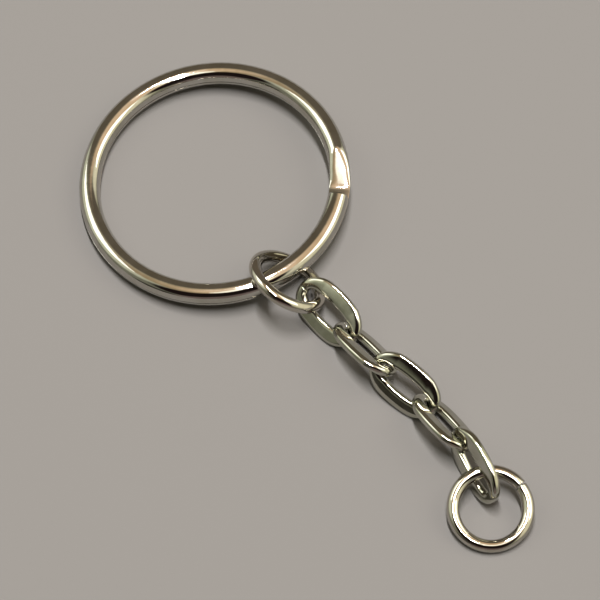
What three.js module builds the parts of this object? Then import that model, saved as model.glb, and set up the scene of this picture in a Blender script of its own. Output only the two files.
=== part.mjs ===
// A split key ring with its short chain, lying on a flat surface: the split ring, a cut
// connector ring, five flattened oval links and a cut end ring, each hooked through the
// one before it. Millimetres, +Z up. The chain runs from the split ring towards -Y.
import * as THREE from "three";
import { LoftGeometry } from "three/addons/geometries/LoftGeometry.js";

const radians = THREE.MathUtils.degToRad;
const UP = new THREE.Vector3(0, 0, 1);

// Split ring: one half-round wire wound twice, its flat side towards the other turn.
const RING_DIAMETER = 25; // outside
const COIL_WIDTH = 1.9; // of the wire, across the band
const TURN_HEIGHT = 1.02; // of one turn
const TURN_GAP = 0.06; // between the two turns
const COIL_POWER = 2.3; // of the wire's outline, 2 is an ellipse, more is squarer
const CRIMP_POWER = 4; // halfway down the drop, which is pressed flatter
const SHOULDER = 0.48; // the wire's widest line, off its middle as a share of its height
const RAMP_START = -25.5; // where the upper turn starts to drop, degrees from +X
const RAMP_SWEEP = 16.5; // degrees of the drop to the lower turn, clockwise from above
const END_CLEARANCE = 5.3; // degrees between a wire end and the ramp beside it
const RING_LEAN = 3.8; // from level, because the band rests on the connector ring
const RING_LEAN_TOWARDS = 139; // side of its lowest point, degrees from +X

// The two jump rings: round wire bent to a circle and cut.
const JUMP_RADIUS = 3.3; // to the wire's centre
const JUMP_WIRE = 1.15;
const JUMP_GAP = 0.08; // between the cut ends
const JUMP_OFFSET = 0.25; // sideways, between the cut ends

// Chain links: round wire bent to an oval, then flattened.
const LINK_LENGTH = 7.4;
const LINK_WIDTH = 4.6;
const SIDE_WIDTH = 1.45; // of the flattened wire along the sides
const SIDE_THICKNESS = 0.78;
const END_WIDTH = 1.0; // of the wire at the two ends
const DISH = 6; // the sides slope outwards, degrees
const OVAL_POWER = 2.4; // 2 is an ellipse, more is squarer
const SIDE_POWER = 3.4; // of the wire's outline along the sides
const END_POWER = 2.3; // and at the two ends
const FLAT_SHARE = 0.55; // of the length is fully flattened
const FLATTENING = 0.4; // how fast the wire thickens as it narrows
const HOOK_SLACK = 0.32; // between the end wires of two links

// How the pieces lie. A heading is the way that a piece runs in plan, degrees from -Y
// towards +X. A pitch lifts its far end. A roll lifts its +X side.
const CONNECTOR = { heading: -5.2, reach: 12.59, lean: 39.75, leanTowards: 4.7, cut: -20 };
const CHAIN_START = { heading: 44.3, reach: 1.6 }; // first end wire, from the connector's centre
const LINKS = [
  { heading: 4.3, pitch: -4.2, roll: 39 },
  { heading: 1.7, pitch: 10.8, roll: -43.5 },
  { heading: 12.5, pitch: -8, roll: 47 },
  { heading: -1.5, pitch: 11.2, roll: -42 },
  { heading: -10.2, pitch: -7, roll: 71 },
];
const END_RING = { heading: -44.5, reach: 0.92, lean: 14.2, leanTowards: -126, cut: 0 };

// How finely the surfaces are divided.
const TURN_STEPS = 68;
const RAMP_STEPS = 4;
const JUMP_STEPS = 36;
const LINK_STEPS = 40;
const COIL_SIDES = 12;
const WIRE_SIDES = 10;

const nickel = new THREE.MeshStandardMaterial({
  color: 0xbab5a6,
  roughness: 0.22,
  metalness: 1,
});

// A rounded outline's point at an angle: power 2 gives an ellipse, more a squarer shape.
function roundedPoint(halfWidth, halfHeight, power, angle) {
  const swell = (value) => Math.sign(value) * Math.abs(value) ** (2 / power);
  return [halfWidth * swell(Math.cos(angle)), halfHeight * swell(Math.sin(angle))];
}

// The angles of a section's points, with a level facet at the top and the bottom.
function sectionAngles(sides) {
  return Array.from({ length: sides }, (_, i) => radians(((i + 0.5) * 360) / sides));
}

// Puts an outline of [across, up] pairs in space.
function placeOutline(outline, centre, outward, up) {
  return outline.map(([across, height]) =>
    centre.clone().addScaledVector(outward, across).addScaledVector(up, height),
  );
}

// Evenly spaced numbers after one value, up to and with another.
function stepsTo(from, to, count) {
  return Array.from({ length: count }, (_, i) => from + ((to - from) * (i + 1)) / count);
}

// A wire bent round the Z axis, clockwise seen from above, with a section at each of the
// angles in turned. height and outline are functions of the degrees turned so far.
function bentWire(startAngle, turned, radius, height, outline) {
  const sections = turned.map((sofar) => {
    const angle = radians(startAngle - sofar);
    const outward = new THREE.Vector3(Math.cos(angle), Math.sin(angle), 0);
    const centre = outward.clone().multiplyScalar(radius).setZ(height(sofar));
    return placeOutline(outline(sofar), centre, outward, UP);
  });
  return new LoftGeometry(sections, { capStart: true, capEnd: true });
}

// The half-round section of the coiled wire. facing is 1 with the flat side up, -1 with it
// down, and in between on the drop, where the wire is pressed flatter.
function coilOutline(facing) {
  const widest = SHOULDER * TURN_HEIGHT * facing;
  const power = THREE.MathUtils.lerp(CRIMP_POWER, COIL_POWER, Math.abs(facing));
  return sectionAngles(COIL_SIDES).map((angle) => {
    const [across, rise] = roundedPoint(COIL_WIDTH / 2, 1, power, angle);
    const limit = TURN_HEIGHT / 2 - Math.sign(rise) * widest;
    return [across, widest + rise * limit];
  });
}

function splitRing() {
  const turnSweep = 360 - RAMP_SWEEP - END_CLEARANCE;
  const rampFoot = turnSweep + RAMP_SWEEP;
  const dropped = (turned) =>
    THREE.MathUtils.clamp((turned - turnSweep) / RAMP_SWEEP, 0, 1);
  return bentWire(
    RAMP_START - RAMP_SWEEP - END_CLEARANCE,
    [
      0,
      ...stepsTo(0, turnSweep, TURN_STEPS),
      ...stepsTo(turnSweep, rampFoot, RAMP_STEPS),
      ...stepsTo(rampFoot, rampFoot + turnSweep, TURN_STEPS),
    ],
    (RING_DIAMETER - COIL_WIDTH) / 2,
    (turned) => (0.5 - dropped(turned)) * (TURN_HEIGHT + TURN_GAP),
    (turned) => coilOutline(2 * dropped(turned) - 1),
  );
}

function jumpRing() {
  const gapSweep = THREE.MathUtils.radToDeg(JUMP_GAP / JUMP_RADIUS);
  const sweep = 360 - gapSweep;
  const outline = sectionAngles(WIRE_SIDES).map((angle) =>
    roundedPoint(JUMP_WIRE / 2, JUMP_WIRE / 2, 2, angle),
  );
  return bentWire(
    -gapSweep / 2,
    [0, ...stepsTo(0, sweep, JUMP_STEPS)],
    JUMP_RADIUS,
    (turned) => (turned / sweep - 0.5) * JUMP_OFFSET,
    () => outline,
  );
}

// The middle line of a link's wire, clockwise seen from above, longest along X.
class Oval extends THREE.Curve {
  halfLength = (LINK_LENGTH - END_WIDTH) / 2;
  halfWidth = (LINK_WIDTH - SIDE_WIDTH) / 2;
  getPoint(share) {
    const angle = -2 * Math.PI * share;
    const [x, y] = roundedPoint(this.halfLength, this.halfWidth, OVAL_POWER, angle);
    return new THREE.Vector3(x, y, 0);
  }
}

function chainLink() {
  const oval = new Oval();
  const sections = [];
  for (let i = 0; i < LINK_STEPS; i++) {
    const centre = oval.getPointAt(i / LINK_STEPS);
    const along = oval.getTangentAt(i / LINK_STEPS);
    // 0 on the sides and 1 at the two ends
    const ending = THREE.MathUtils.clamp(
      (Math.abs(centre.x) / oval.halfLength - FLAT_SHARE) / (1 - FLAT_SHARE),
      0,
      1,
    );
    const width = THREE.MathUtils.lerp(SIDE_WIDTH, END_WIDTH, ending);
    const thickness = SIDE_THICKNESS * (SIDE_WIDTH / width) ** FLATTENING;
    const level = new THREE.Vector3().crossVectors(UP, along);
    const dish = radians(DISH * (1 - ending));
    const outward = level.clone().applyAxisAngle(along, -dish);
    const up = UP.clone().applyAxisAngle(along, -dish);
    const power = THREE.MathUtils.lerp(SIDE_POWER, END_POWER, ending);
    const outline = sectionAngles(WIRE_SIDES).map((angle) =>
      roundedPoint(width / 2, thickness / 2, power, angle),
    );
    sections.push(placeOutline(outline, centre, outward, up));
  }
  sections.push(sections[0]);
  return new LoftGeometry(sections);
}

function direction(heading, pitch) {
  const flat = Math.cos(radians(pitch));
  return new THREE.Vector3(
    Math.sin(radians(heading)) * flat,
    -Math.cos(radians(heading)) * flat,
    Math.sin(radians(pitch)),
  );
}

const keyRing = new THREE.Group();
const lying = new THREE.Group();
keyRing.add(lying);

// Adds a piece over a point of the surface and lowers it until it rests there.
function lay(name, geometry, place, turn) {
  const mesh = new THREE.Mesh(geometry, nickel.clone());
  mesh.name = name;
  mesh.quaternion.copy(turn);
  mesh.position.set(place.x, place.y, 0);
  mesh.position.z = -new THREE.Box3().setFromObject(mesh, true).min.z;
  lying.add(mesh);
  return mesh;
}

// The turn that tips a level piece by lean, lowering its side at leanTowards, after
// turning its cut, if it has one, to face that way in plan.
function leaning(lean, leanTowards, cut = 0) {
  const low = radians(leanTowards);
  const hinge = new THREE.Vector3(-Math.sin(low), Math.cos(low), 0);
  const tip = new THREE.Quaternion().setFromAxisAngle(hinge, radians(lean));
  return tip.multiply(new THREE.Quaternion().setFromAxisAngle(UP, radians(cut)));
}

// The turn that runs a link's length along a heading and a pitch, and rolls it.
function running({ heading, pitch, roll }) {
  const along = direction(heading, pitch);
  const level = new THREE.Vector3().crossVectors(UP, along).normalize();
  const across = level.applyAxisAngle(along, radians(roll));
  const normal = new THREE.Vector3().crossVectors(along, across);
  const basis = new THREE.Matrix4().makeBasis(along, across, normal);
  return new THREE.Quaternion().setFromRotationMatrix(basis);
}

function layStep(from, { heading, reach }) {
  return from.clone().addScaledVector(direction(heading, 0), reach);
}

const ringPlace = new THREE.Vector3();
lay("split_ring", splitRing(), ringPlace, leaning(RING_LEAN, RING_LEAN_TOWARDS));

const connectorPlace = layStep(ringPlace, CONNECTOR);
lay(
  "connector_ring",
  jumpRing(),
  connectorPlace,
  leaning(CONNECTOR.lean, CONNECTOR.leanTowards, CONNECTOR.cut),
);

// Each link starts where its first end wire crosses the last one's far end wire.
const wireToMiddle = (LINK_LENGTH - END_WIDTH) / 2;
let endWire = layStep(connectorPlace, CHAIN_START);
let lastAlong = null;
LINKS.forEach((pose, i) => {
  const along = direction(pose.heading, pose.pitch);
  if (lastAlong) {
    const crossing = lastAlong.clone().add(along).normalize();
    endWire.addScaledVector(crossing, -(END_WIDTH + HOOK_SLACK));
  }
  const middle = endWire.clone().addScaledVector(along, wireToMiddle);
  lay(`chain_link_${i + 1}`, chainLink(), middle, running(pose));
  endWire = middle.clone().addScaledVector(along, wireToMiddle);
  lastAlong = along;
});

lay(
  "end_ring",
  jumpRing(),
  layStep(endWire, END_RING),
  leaning(END_RING.lean, END_RING.leanTowards, END_RING.cut),
);

// The origin is under the middle of the bounding box, on the surface.
const bounds = new THREE.Box3().setFromObject(lying, true);
const middle = bounds.getCenter(new THREE.Vector3());
lying.position.set(-middle.x, -middle.y, -bounds.min.z);

export default keyRing;
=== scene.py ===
"""A nickel-plated split key ring with its short chain, lying on a pale floor.

Every piece is a bent wire: a list of sections lofted along a path, then laid where the
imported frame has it. Metres, +Z up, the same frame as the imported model.
"""

import math

import bpy
import numpy as np
from mathutils import Matrix, Vector


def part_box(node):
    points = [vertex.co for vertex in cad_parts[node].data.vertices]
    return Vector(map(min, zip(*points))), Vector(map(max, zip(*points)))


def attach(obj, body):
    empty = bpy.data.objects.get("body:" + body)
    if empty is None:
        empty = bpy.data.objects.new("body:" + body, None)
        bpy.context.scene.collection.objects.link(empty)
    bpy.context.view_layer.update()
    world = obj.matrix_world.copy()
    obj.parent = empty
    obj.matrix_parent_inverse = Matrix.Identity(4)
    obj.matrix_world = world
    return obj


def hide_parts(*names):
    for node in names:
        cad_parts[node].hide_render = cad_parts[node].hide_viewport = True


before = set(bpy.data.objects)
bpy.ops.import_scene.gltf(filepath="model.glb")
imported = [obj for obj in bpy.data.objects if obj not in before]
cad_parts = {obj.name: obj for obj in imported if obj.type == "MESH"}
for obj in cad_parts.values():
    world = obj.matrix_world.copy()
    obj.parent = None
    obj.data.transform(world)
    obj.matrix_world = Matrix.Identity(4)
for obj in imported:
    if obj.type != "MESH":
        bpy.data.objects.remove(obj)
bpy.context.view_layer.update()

MM = 0.001
UP = np.array([0, 0, 1.0])

# Split ring: one half-round wire wound twice, its flat side towards the other turn.
RING_DIAMETER = 25.0 * MM  # outside
COIL_WIDTH = 1.9 * MM  # of the wire, across the band
TURN_HEIGHT = 1.02 * MM  # of one turn
TURN_GAP = 0.06 * MM  # between the two turns
COIL_POWER = 2.3  # of the wire's outline, 2 is an ellipse, more is squarer
CRIMP_POWER = 4.0  # halfway down the drop, which is pressed flatter
SHOULDER = 0.48  # the wire's widest line, off its middle as a share of its height
RAMP_START = -25.5  # where the upper turn starts to drop, degrees from +X
RAMP_SWEEP = 16.5  # degrees of the drop to the lower turn, clockwise from above
RAMP_ROUNDING = 1.0  # degrees by which the drop's bends are rounded, each way
END_CLEARANCE = 5.3  # degrees between a wire end and the drop beside it
COIL_END_ROUNDING = 0.15 * MM  # of the cut ends' edges
RING_LEAN = 3.8  # from level, because the band rests on the connector ring
RING_LEAN_TOWARDS = 139.0  # side of its lowest point, degrees from +X

# The two jump rings: round wire bent to a circle and cut.
JUMP_RADIUS = 3.3 * MM  # to the wire's centre
JUMP_WIRE = 1.15 * MM
JUMP_GAP = 0.08 * MM  # between the cut ends
JUMP_OFFSET = 0.25 * MM  # sideways, between the cut ends
JUMP_END_ROUNDING = 0.06 * MM

# Chain links: round wire bent to an oval, then flattened.
LINK_LENGTH = 7.4 * MM
LINK_WIDTH = 4.6 * MM
SIDE_WIDTH = 1.45 * MM  # of the flattened wire along the sides
SIDE_THICKNESS = 0.78 * MM
END_WIDTH = 1.0 * MM  # of the wire at the two ends
DISH = 6.0  # the sides slope outwards, degrees
OVAL_POWER = 2.4  # 2 is an ellipse, more is squarer
SIDE_POWER = 3.4  # of the wire's outline along the sides
END_POWER = 2.3  # and at the two ends
FLAT_SHARE = 0.55  # of the length is fully flattened
FLATTENING = 0.4  # how fast the wire thickens as it narrows
BUTT_GAP = 0.035 * MM  # the hairline where the wire's ends meet
BUTT_PLACE = 0.5  # where it is, as a share of the way round: the end nearer the ring
LINK_END_ROUNDING = 0.05 * MM

# How the pieces lie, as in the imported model. A lean tips a ring from level and lowers its
# side at "towards"; its cut faces "cut". Both are degrees from +X. A heading is the way
# that a link runs in plan, degrees from -Y towards +X. A pitch lifts its far end. A roll
# lifts its +X side.
CONNECTOR = {"lean": 39.75, "towards": 4.7, "cut": -20.0}
END_RING = {"lean": 14.2, "towards": -126.0, "cut": 0.0}
LINKS = [
    {"heading": 4.3, "pitch": -4.2, "roll": 39.0},
    {"heading": 1.7, "pitch": 10.8, "roll": -43.5},
    {"heading": 12.5, "pitch": -8.0, "roll": 47.0},
    {"heading": -1.5, "pitch": 11.2, "roll": -42.0},
    {"heading": -10.2, "pitch": -7.0, "roll": 71.0},
]

# How finely the surfaces are divided.
COIL_STEPS = 700
COIL_SIDES = 40
JUMP_STEPS = 160
JUMP_SIDES = 36
LINK_SECTIONS = 200
LINK_SIDES = 32
PATH_SAMPLES = 4001  # along a link's middle line, to measure it
TANGENT_REACH = 0.05 * MM  # to each side of a point, to find the way the wire runs
BEND_SAMPLES = 21  # averaged to round a bend of the drop
ROUNDING_TURNS = (90.0, 60.0, 30.0)  # where a rounded edge has its sections, degrees
SHARP_ANGLE = 50.0  # degrees between faces from which an edge shows

# Nickel: clean and dull colour, then roughness where it is smooth and where it is rough.
RING_PLATE = ((0.54, 0.52, 0.48), (0.45, 0.43, 0.37), 0.03, 0.08)
WIRE_PLATE = ((0.54, 0.51, 0.46), (0.45, 0.42, 0.35), 0.02, 0.06)
LINK_PLATE = ((0.50, 0.49, 0.43), (0.39, 0.385, 0.31), 0.05, 0.14)

# Patterns in the plate, all of noise. Scales are in features a metre.
PATCH_SCALE = 420.0  # faint yellowing
PATCH_EDGES = (0.35, 0.62)  # noise where the plate is dull, and where it is clean
WAVE_SCALE = 700.0  # slow waves that bend reflections
PIT_SCALE = 5200.0  # handling marks
LINE_SCALE = (140.0, 5200.0, 5200.0)  # drawing lines: along the wire, then round it
GLOSS_EDGES = (0.12, 0.42)  # noise where it is smooth, and where it is rough
WAVE_BUMP = (0.35, 0.02 * MM)  # strength and depth
LINE_BUMP = (0.15, 0.003 * MM)
PIT_BUMP = (0.2, 0.003 * MM)

FLOOR_COLOUR = (0.1213, 0.1143, 0.1090)
FLOOR_ROUGHNESS = 0.9
FLOOR_SPECULAR = 0.1
FLOOR_HALF = 1.5  # half its side

# The camera looks down at a point beside the origin. Its azimuth is degrees round from
# the -Y side towards +X.
CAMERA_AIM = Vector((-0.6, 2.2, 0.0)) * MM
CAMERA_AZIMUTH = -37.5
CAMERA_ELEVATION = 64.0
CAMERA_DISTANCE = 268.1 * MM
CAMERA_NEAREST = 5 * MM  # nothing nearer is drawn
CAMERA_LENS = 177.0  # this and the sensor are in millimetres, as Blender counts them
SENSOR = 36.0

# Soft boxes, aimed at the origin. side is degrees round from the camera's side, width and
# height are the angles that a box fills, and radiance is its brightness.
LIGHT_DISTANCE = 0.6
SOFT_BOXES = [
    {
        "name": "overhead",  # a thin strip, which draws the fine white lines
        "side": 195,
        "elevation": 88,
        "width": 3,
        "height": 34,
        "radiance": 235.0,
        "colour": (1.0, 1.0, 1.0),
    },
    {
        "name": "left",
        "side": -116,
        "elevation": 48,
        "width": 28,
        "height": 26,
        "radiance": 1.9,
        "colour": (1.0, 0.99, 0.96),
    },
    {
        "name": "right",
        "side": 97,
        "elevation": 47,
        "width": 36,
        "height": 30,
        "radiance": 2.4,
        "colour": (1.0, 0.985, 0.95),
    },
]

# The room round the soft boxes: one dim olive, with round patches painted over it in this
# order. A patch is at side and elevation, counted as for a soft box. It starts where the
# cosine of the angle to its middle is "edge" and is full where that is "full".
ROOM_COLOUR = (0.27, 0.27, 0.21)
ROOM_PATCHES = [
    # the glow round the right soft box
    {"side": 90, "elevation": 36, "edge": 0.62, "full": 0.93, "colour": (1.20, 1.13, 0.82)},
    # the glow round the left soft box
    {"side": -112, "elevation": 40, "edge": 0.74, "full": 0.94, "colour": (0.95, 0.97, 0.76)},
    # the brown wall beyond the object
    {"side": 180, "elevation": 22, "edge": 0.70, "full": 0.78, "colour": (0.175, 0.145, 0.105)},
    # near black on the camera's side, halfway up
    {"side": -4, "elevation": 46, "edge": 0.77, "full": 0.85, "colour": (0.018, 0.011, 0.010)},
    # a dim reddish grey under that, down to the floor
    {"side": 0, "elevation": -10, "edge": 0.74, "full": 0.90, "colour": (0.24, 0.18, 0.17)},
    # a dark corner, low on the camera's left
    {"side": -42, "elevation": 4, "edge": 0.955, "full": 0.985, "colour": (0.06, 0.055, 0.045)},
    # the ceiling: tan on the left, peach on the right, white towards the camera
    {"side": -120, "elevation": 80, "edge": 0.90, "full": 0.97, "colour": (0.55, 0.42, 0.26)},
    {"side": 122, "elevation": 80, "edge": 0.88, "full": 0.96, "colour": (1.1, 0.80, 0.52)},
    {"side": 8, "elevation": 81, "edge": 0.978, "full": 0.992, "colour": (2.1, 2.0, 1.75)},
]


# ---------------------------------------------------------------- wire geometry
def rounded_outline(half_width, half_height, power, sides):
    """An outline's [across, up] points: power 2 gives an ellipse, more a squarer shape."""
    angle = np.radians((np.arange(sides) + 0.5) * 360 / sides)
    c, s = np.cos(angle), np.sin(angle)
    return np.stack(
        [
            half_width * np.sign(c) * np.abs(c) ** (2 / power),
            half_height * np.sign(s) * np.abs(s) ** (2 / power),
        ],
        axis=1,
    )


def rotation(axis, degrees):
    """The matrix that turns points about an axis through the origin."""
    return np.array(Matrix.Rotation(math.radians(degrees), 3, Vector(axis)))


class Wire:
    """Sections lofted in order, with capped ends and rounded end edges."""

    def __init__(self):
        self.rows = []
        self.along = []
        self.length = 0.0
        self.last_centre = None

    def add(self, centre, outward, up, outline):
        """Adds a section: an outline's [across, up] points, put in space."""
        centre = np.asarray(centre, float)
        if self.last_centre is not None:
            self.length += float(np.linalg.norm(centre - self.last_centre))
        self.last_centre = centre
        self.rows.append(centre + outline[:, :1] * outward + outline[:, 1:] * up)
        self.along.append(self.length)

    def rounded_ends(self, radius):
        """Draws the two end sections in, so that each cut end has a soft edge."""
        for end, step in ((0, 1), (-1, -1)):
            row, inner = self.rows[end], self.rows[end + step]
            centre = row.mean(axis=0)
            into = inner.mean(axis=0) - centre
            into = into / np.linalg.norm(into)
            reach = np.linalg.norm(row - centre, axis=1).mean()
            added = []
            for turn in ROUNDING_TURNS:
                t = math.radians(turn)
                shrink = 1 - radius * (1 - math.cos(t)) / reach
                added.append(
                    centre + (row - centre) * shrink + into * radius * (1 - math.sin(t))
                )
            shifted = row + into * radius
            places = [self.along[end]] * (len(added) + 1)
            if end == 0:
                self.rows = added + [shifted] + self.rows[1:]
                self.along = places + self.along[1:]
            else:
                self.rows = self.rows[:-1] + [shifted] + added[::-1]
                self.along = self.along[:-1] + places

    def points(self):
        """Every section's points, one section after another."""
        return np.concatenate(self.rows)

    def faces(self):
        """Four-sided faces from each section to the next, and a cap on each end."""
        sides = len(self.rows[0])
        faces = []
        for i in range(len(self.rows) - 1):
            a, b = i * sides, (i + 1) * sides
            for k in range(sides):
                n = (k + 1) % sides
                faces.append((a + k, a + n, b + n, b + k))
        last = (len(self.rows) - 1) * sides
        faces.append(tuple(range(sides))[::-1])
        faces.append(tuple(last + k for k in range(sides)))
        return faces

    def grain(self):
        """Where each point is on the wire: along it, and round it as two coordinates."""
        sides = len(self.rows[0])
        angle = (np.arange(sides) + 0.5) * 2 * math.pi / sides
        out = []
        for row, along in zip(self.rows, self.along):
            reach = np.linalg.norm(row - row.mean(axis=0), axis=1).mean()
            out.append(
                np.stack(
                    [np.full(sides, along), reach * np.cos(angle), reach * np.sin(angle)],
                    axis=1,
                )
            )
        return np.concatenate(out)


def outward_at(degrees):
    """The level unit vector at an angle from +X."""
    angle = math.radians(degrees)
    return np.array([math.cos(angle), math.sin(angle), 0.0])


def ramp(x, low, high, rounding):
    """0 below low and 1 above high, in a straight line between with rounded corners."""
    spread = rounding * np.linspace(-1, 1, BEND_SAMPLES)
    near = np.clip((x - low + spread) / (high - low), 0, 1)
    return float(near.mean())


def coil_outline(facing):
    """The half-round section of the coiled wire: facing is 1 with the flat side up, -1
    with it down, and in between on the drop, where the wire is pressed flatter."""
    power = CRIMP_POWER + (COIL_POWER - CRIMP_POWER) * abs(facing)
    base = rounded_outline(COIL_WIDTH / 2, 1.0, power, COIL_SIDES)
    widest = SHOULDER * TURN_HEIGHT * facing
    limit = TURN_HEIGHT / 2 - np.sign(base[:, 1]) * widest
    return np.stack([base[:, 0], widest + base[:, 1] * limit], axis=1)


def split_ring_wire():
    """The coiled wire, clockwise seen from above: upper turn, drop, lower turn."""
    turn_sweep = 360 - RAMP_SWEEP - END_CLEARANCE
    ramp_foot = turn_sweep + RAMP_SWEEP
    start = RAMP_START - RAMP_SWEEP - END_CLEARANCE
    radius = (RING_DIAMETER - COIL_WIDTH) / 2
    wire = Wire()
    for i in range(COIL_STEPS + 1):
        turned = (ramp_foot + turn_sweep) * i / COIL_STEPS
        dropped = ramp(turned, turn_sweep, ramp_foot, RAMP_ROUNDING)
        outward = outward_at(start - turned)
        height = (0.5 - dropped) * (TURN_HEIGHT + TURN_GAP)
        wire.add(outward * radius + UP * height, outward, UP, coil_outline(2 * dropped - 1))
    wire.rounded_ends(COIL_END_ROUNDING)
    return wire


def jump_ring_wire():
    """A circle of round wire, cut on its +X side, with its ends a little out of line."""
    gap_sweep = math.degrees(JUMP_GAP / JUMP_RADIUS)
    outline = rounded_outline(JUMP_WIRE / 2, JUMP_WIRE / 2, 2, JUMP_SIDES)
    wire = Wire()
    for i in range(JUMP_STEPS + 1):
        share = i / JUMP_STEPS
        outward = outward_at(-gap_sweep / 2 - (360 - gap_sweep) * share)
        centre = outward * JUMP_RADIUS + UP * (share - 0.5) * JUMP_OFFSET
        wire.add(centre, outward, UP, outline)
    wire.rounded_ends(JUMP_END_ROUNDING)
    return wire


def oval_path():
    """Evenly spaced points round a link's middle line, from one side of the butt to the
    other, and the way that the wire runs there."""
    half_length = (LINK_LENGTH - END_WIDTH) / 2
    half_width = (LINK_WIDTH - SIDE_WIDTH) / 2
    angle = -np.linspace(0, 2 * math.pi, PATH_SAMPLES)
    c, s = np.cos(angle), np.sin(angle)
    x = half_length * np.sign(c) * np.abs(c) ** (2 / OVAL_POWER)
    y = half_width * np.sign(s) * np.abs(s) ** (2 / OVAL_POWER)
    run = np.concatenate([[0], np.cumsum(np.hypot(np.diff(x), np.diff(y)))])
    total = run[-1]
    shares = np.linspace(0, 1, LINK_SECTIONS)
    at = (BUTT_PLACE * total + BUTT_GAP / 2 + (total - BUTT_GAP) * shares) % total

    def place(where):
        return np.stack(
            [np.interp(where, run, x), np.interp(where, run, y), 0 * where], axis=1
        )

    tangent = place((at + TANGENT_REACH) % total) - place((at - TANGENT_REACH) % total)
    tangent /= np.linalg.norm(tangent, axis=1)[:, None]
    return place(at), tangent, half_length


def link_wire():
    """An oval of wire, round at its two ends and flattened and dished along its sides."""
    centres, tangents, half_length = oval_path()
    wire = Wire()
    for centre, tangent in zip(centres, tangents):
        # 0 on the sides and 1 at the two ends
        ending = (abs(centre[0]) / half_length - FLAT_SHARE) / (1 - FLAT_SHARE)
        ending = min(max(ending, 0.0), 1.0)
        width = SIDE_WIDTH + (END_WIDTH - SIDE_WIDTH) * ending
        thickness = SIDE_THICKNESS * (SIDE_WIDTH / width) ** FLATTENING
        turn = rotation(tangent, -DISH * (1 - ending))
        outward = turn @ np.cross(UP, tangent)
        power = SIDE_POWER + (END_POWER - SIDE_POWER) * ending
        outline = rounded_outline(width / 2, thickness / 2, power, LINK_SIDES)
        wire.add(centre, outward, turn @ UP, outline)
    wire.rounded_ends(LINK_END_ROUNDING)
    return wire


# ---------------------------------------------------------------- how pieces lie
def leaning(lean, towards, cut=0.0):
    """Tips a level piece by lean, lowering its side at towards, after turning its cut, if
    it has one, to face that way in plan."""
    low = math.radians(towards)
    tip = rotation((-math.sin(low), math.cos(low), 0), lean)
    return tip @ rotation((0, 0, 1), cut)


def running(heading, pitch, roll):
    """Runs a link's length along a heading and a pitch, and rolls it."""
    h, p = math.radians(heading), math.radians(pitch)
    along = np.array(
        [math.sin(h) * math.cos(p), -math.cos(h) * math.cos(p), math.sin(p)]
    )
    level = np.cross((0, 0, 1), along)
    across = rotation(along, roll) @ (level / np.linalg.norm(level))
    return np.stack([along, across, np.cross(along, across)], axis=1)


def piece(name, node, wire, turn, material):
    """Makes a piece from a wire, turned and moved to the middle of its CAD node's box, and
    lifted if its finer surface would reach lower."""
    points = wire.points() @ turn.T
    low, high = (np.array(v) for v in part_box(node))
    points += (low + high) / 2 - (points.min(axis=0) + points.max(axis=0)) / 2
    points[:, 2] += max(0.0, low[2] - points[:, 2].min())
    mesh = bpy.data.meshes.new(name)
    mesh.from_pydata(points.tolist(), [], wire.faces())
    grain = mesh.attributes.new("grain", "FLOAT_VECTOR", "POINT")
    grain.data.foreach_set("vector", wire.grain().astype(np.float32).ravel())
    mesh.shade_smooth()
    mesh.set_sharp_from_angle(angle=math.radians(SHARP_ANGLE))
    mesh.validate()
    mesh.materials.append(material)
    made = bpy.data.objects.new(name, mesh)
    bpy.context.scene.collection.objects.link(made)
    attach(made, node)
    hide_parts(node)


# ---------------------------------------------------------------- materials
def shader_node(tree, kind, inputs=None, **settings):
    """Adds a shader node, with its settings and the values of its inputs."""
    made = tree.nodes.new(kind)
    for key, value in settings.items():
        setattr(made, key, value)
    for key, value in (inputs or {}).items():
        made.inputs[key].default_value = value
    return made


def noise(tree, where, scale, detail, roughness=0.5):
    """Noise over the coordinates that a socket gives."""
    values = {"Scale": scale, "Detail": detail, "Roughness": roughness}
    made = shader_node(tree, "ShaderNodeTexNoise", values)
    tree.links.new(where, made.inputs["Vector"])
    return made.outputs["Fac"]


def bump(tree, height, strength, depth, under=None):
    """A bump from a height, over the normal of another bump if there is one."""
    made = shader_node(tree, "ShaderNodeBump", {"Strength": strength, "Distance": depth})
    tree.links.new(height, made.inputs["Height"])
    if under is not None:
        tree.links.new(under, made.inputs["Normal"])
    return made.outputs["Normal"]


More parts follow.
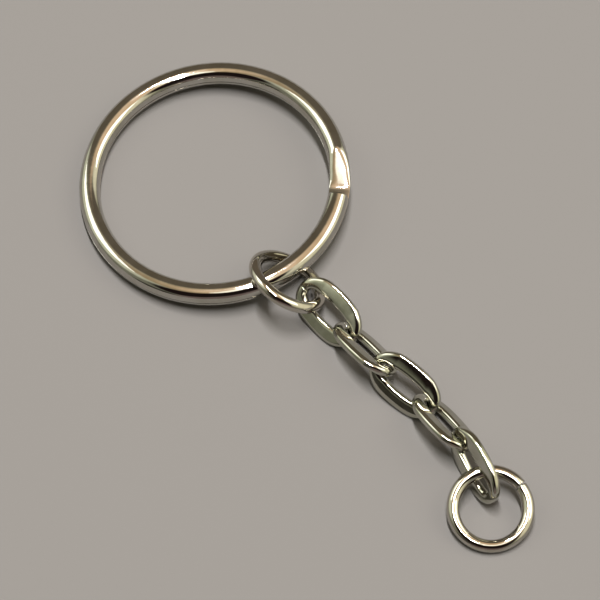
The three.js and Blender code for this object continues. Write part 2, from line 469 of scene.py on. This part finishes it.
def nickel(name, clean, dull, smooth, rough):
    """Bright nickel plate: warm silver with faint yellowing, drawing lines along the
    wire, fine handling scratches and slightly wavy reflections."""
    material = bpy.data.materials.new(name)
    material.use_nodes = True
    tree = material.node_tree
    link = tree.links.new
    shader = tree.nodes["Principled BSDF"]
    shader.inputs["Metallic"].default_value = 1.0

    place = shader_node(tree, "ShaderNodeTexCoord").outputs["Object"]
    patches = noise(tree, place, PATCH_SCALE, detail=4.0, roughness=0.6)
    waves = noise(tree, place, WAVE_SCALE, detail=2.0)
    pits = noise(tree, place, PIT_SCALE, detail=3.0, roughness=0.65)

    # drawing lines: noise pulled out along the wire
    grain = shader_node(tree, "ShaderNodeAttribute", attribute_name="grain")
    stretch = shader_node(tree, "ShaderNodeMapping", {"Scale": LINE_SCALE})
    link(grain.outputs["Vector"], stretch.inputs["Vector"])
    lines = noise(tree, stretch.outputs["Vector"], scale=1.0, detail=3.0, roughness=0.7)

    tone = shader_node(tree, "ShaderNodeValToRGB")
    for stop, edge, colour in zip(tone.color_ramp.elements, PATCH_EDGES, (dull, clean)):
        stop.position = edge
        stop.color = (*colour, 1)
    link(patches, tone.inputs["Fac"])
    link(tone.outputs["Color"], shader.inputs["Base Color"])

    # rougher where the drawing lines and the patches are both strong
    mixed = shader_node(tree, "ShaderNodeMath", operation="MULTIPLY")
    link(lines, mixed.inputs[0])
    link(patches, mixed.inputs[1])
    span = {
        "From Min": GLOSS_EDGES[0],
        "From Max": GLOSS_EDGES[1],
        "To Min": smooth,
        "To Max": rough,
    }
    gloss = shader_node(tree, "ShaderNodeMapRange", span)
    link(mixed.outputs["Value"], gloss.inputs["Value"])
    link(gloss.outputs["Result"], shader.inputs["Roughness"])

    normal = bump(tree, waves, *WAVE_BUMP)
    normal = bump(tree, lines, *LINE_BUMP, normal)
    normal = bump(tree, pits, *PIT_BUMP, normal)
    link(normal, shader.inputs["Normal"])
    return material


ring_nickel = nickel("ring_nickel", *RING_PLATE)
wire_nickel = nickel("wire_nickel", *WIRE_PLATE)
link_nickel = nickel("link_nickel", *LINK_PLATE)


# ---------------------------------------------------------------- the pieces
piece(
    "split_ring_coil",
    "split_ring",
    split_ring_wire(),
    leaning(RING_LEAN, RING_LEAN_TOWARDS),
    ring_nickel,
)
for label, how in (("connector_ring", CONNECTOR), ("end_ring", END_RING)):
    piece(
        label + "_wire",
        label,
        jump_ring_wire(),
        leaning(**how),
        wire_nickel,
    )
for number, pose in enumerate(LINKS, start=1):
    piece(
        f"chain_link_{number}_wire",
        f"chain_link_{number}",
        link_wire(),
        running(**pose),
        link_nickel,
    )


# ---------------------------------------------------------------- floor
def pale_floor():
    """A plain matt floor at the height the object lies on, which is not part of it."""
    material = bpy.data.materials.new("floor")
    material.use_nodes = True
    shader = material.node_tree.nodes["Principled BSDF"]
    shader.inputs["Base Color"].default_value = (*FLOOR_COLOUR, 1)
    shader.inputs["Roughness"].default_value = FLOOR_ROUGHNESS
    shader.inputs["Specular IOR Level"].default_value = FLOOR_SPECULAR
    mesh = bpy.data.meshes.new("floor")
    half = FLOOR_HALF
    mesh.from_pydata(
        [(-half, -half, 0), (half, -half, 0), (half, half, 0), (-half, half, 0)],
        [],
        [(0, 1, 2, 3)],
    )
    mesh.materials.append(material)
    made = bpy.data.objects.new("floor", mesh)
    bpy.context.scene.collection.objects.link(made)


pale_floor()


# ---------------------------------------------------------------- camera and light
def seen_from(azimuth, elevation):
    """The unit vector from the object towards a viewer; azimuth 0 is on the -Y side."""
    a, e = math.radians(azimuth), math.radians(elevation)
    return Vector(
        (math.sin(a) * math.cos(e), -math.cos(a) * math.cos(e), math.sin(e))
    )


def aim(made, target, back, distance):
    """Puts a camera or a lamp at a distance back from a target, and turns it there."""
    made.location = target + back * distance
    made.rotation_mode = "QUATERNION"
    made.rotation_quaternion = (-back).to_track_quat("-Z", "Y")
    bpy.context.scene.collection.objects.link(made)


def product_camera():
    """A long lens above the object, on its -Y side and to the left."""
    data = bpy.data.cameras.new("camera")
    data.lens = CAMERA_LENS
    data.sensor_width = SENSOR
    data.clip_start = CAMERA_NEAREST
    made = bpy.data.objects.new("camera", data)
    back = seen_from(CAMERA_AZIMUTH, CAMERA_ELEVATION)
    aim(made, CAMERA_AIM, back, CAMERA_DISTANCE)
    bpy.context.scene.camera = made


def soft_box(name, side, elevation, width, height, radiance, colour):
    """A rectangular area lamp; its power is pi times its area times its radiance."""
    across = 2 * LIGHT_DISTANCE * math.tan(math.radians(width) / 2)
    tall = 2 * LIGHT_DISTANCE * math.tan(math.radians(height) / 2)
    data = bpy.data.lights.new(name, "AREA")
    data.shape = "RECTANGLE"
    data.size, data.size_y = across, tall
    data.energy = math.pi * across * tall * radiance
    data.color = colour
    made = bpy.data.objects.new(name, data)
    back = seen_from(CAMERA_AZIMUTH + side, elevation)
    aim(made, Vector((0, 0, 0)), back, LIGHT_DISTANCE)


def studio_room():
    """The world: the room's own colour, with each patch mixed over what is under it."""
    world = bpy.data.worlds.new("studio")
    bpy.context.scene.world = world
    world.use_nodes = True
    tree = world.node_tree
    link = tree.links.new
    place = shader_node(tree, "ShaderNodeTexCoord")

    def facing(direction, edge, full):
        """1 where the room lies towards a direction, 0 where it doesn't."""
        dot = shader_node(tree, "ShaderNodeVectorMath", operation="DOT_PRODUCT")
        dot.inputs[1].default_value = direction
        link(place.outputs["Generated"], dot.inputs[0])
        span = {"From Min": edge, "From Max": full}
        soft = shader_node(tree, "ShaderNodeMapRange", span, interpolation_type="SMOOTHSTEP")
        link(dot.outputs["Value"], soft.inputs["Value"])
        return soft.outputs["Result"]

    painted = None
    for patch in ROOM_PATCHES:
        direction = seen_from(CAMERA_AZIMUTH + patch["side"], patch["elevation"])
        mix = shader_node(tree, "ShaderNodeMix", data_type="RGBA")
        mix.inputs["A"].default_value = (*ROOM_COLOUR, 1)
        mix.inputs["B"].default_value = (*patch["colour"], 1)
        link(facing(direction, patch["edge"], patch["full"]), mix.inputs["Factor"])
        if painted is not None:
            link(painted, mix.inputs["A"])
        painted = mix.outputs["Result"]
    link(painted, tree.nodes["Background"].inputs["Color"])


product_camera()
for box in SOFT_BOXES:
    soft_box(**box)
studio_room()

bpy.context.scene.view_settings.view_transform = "Standard"
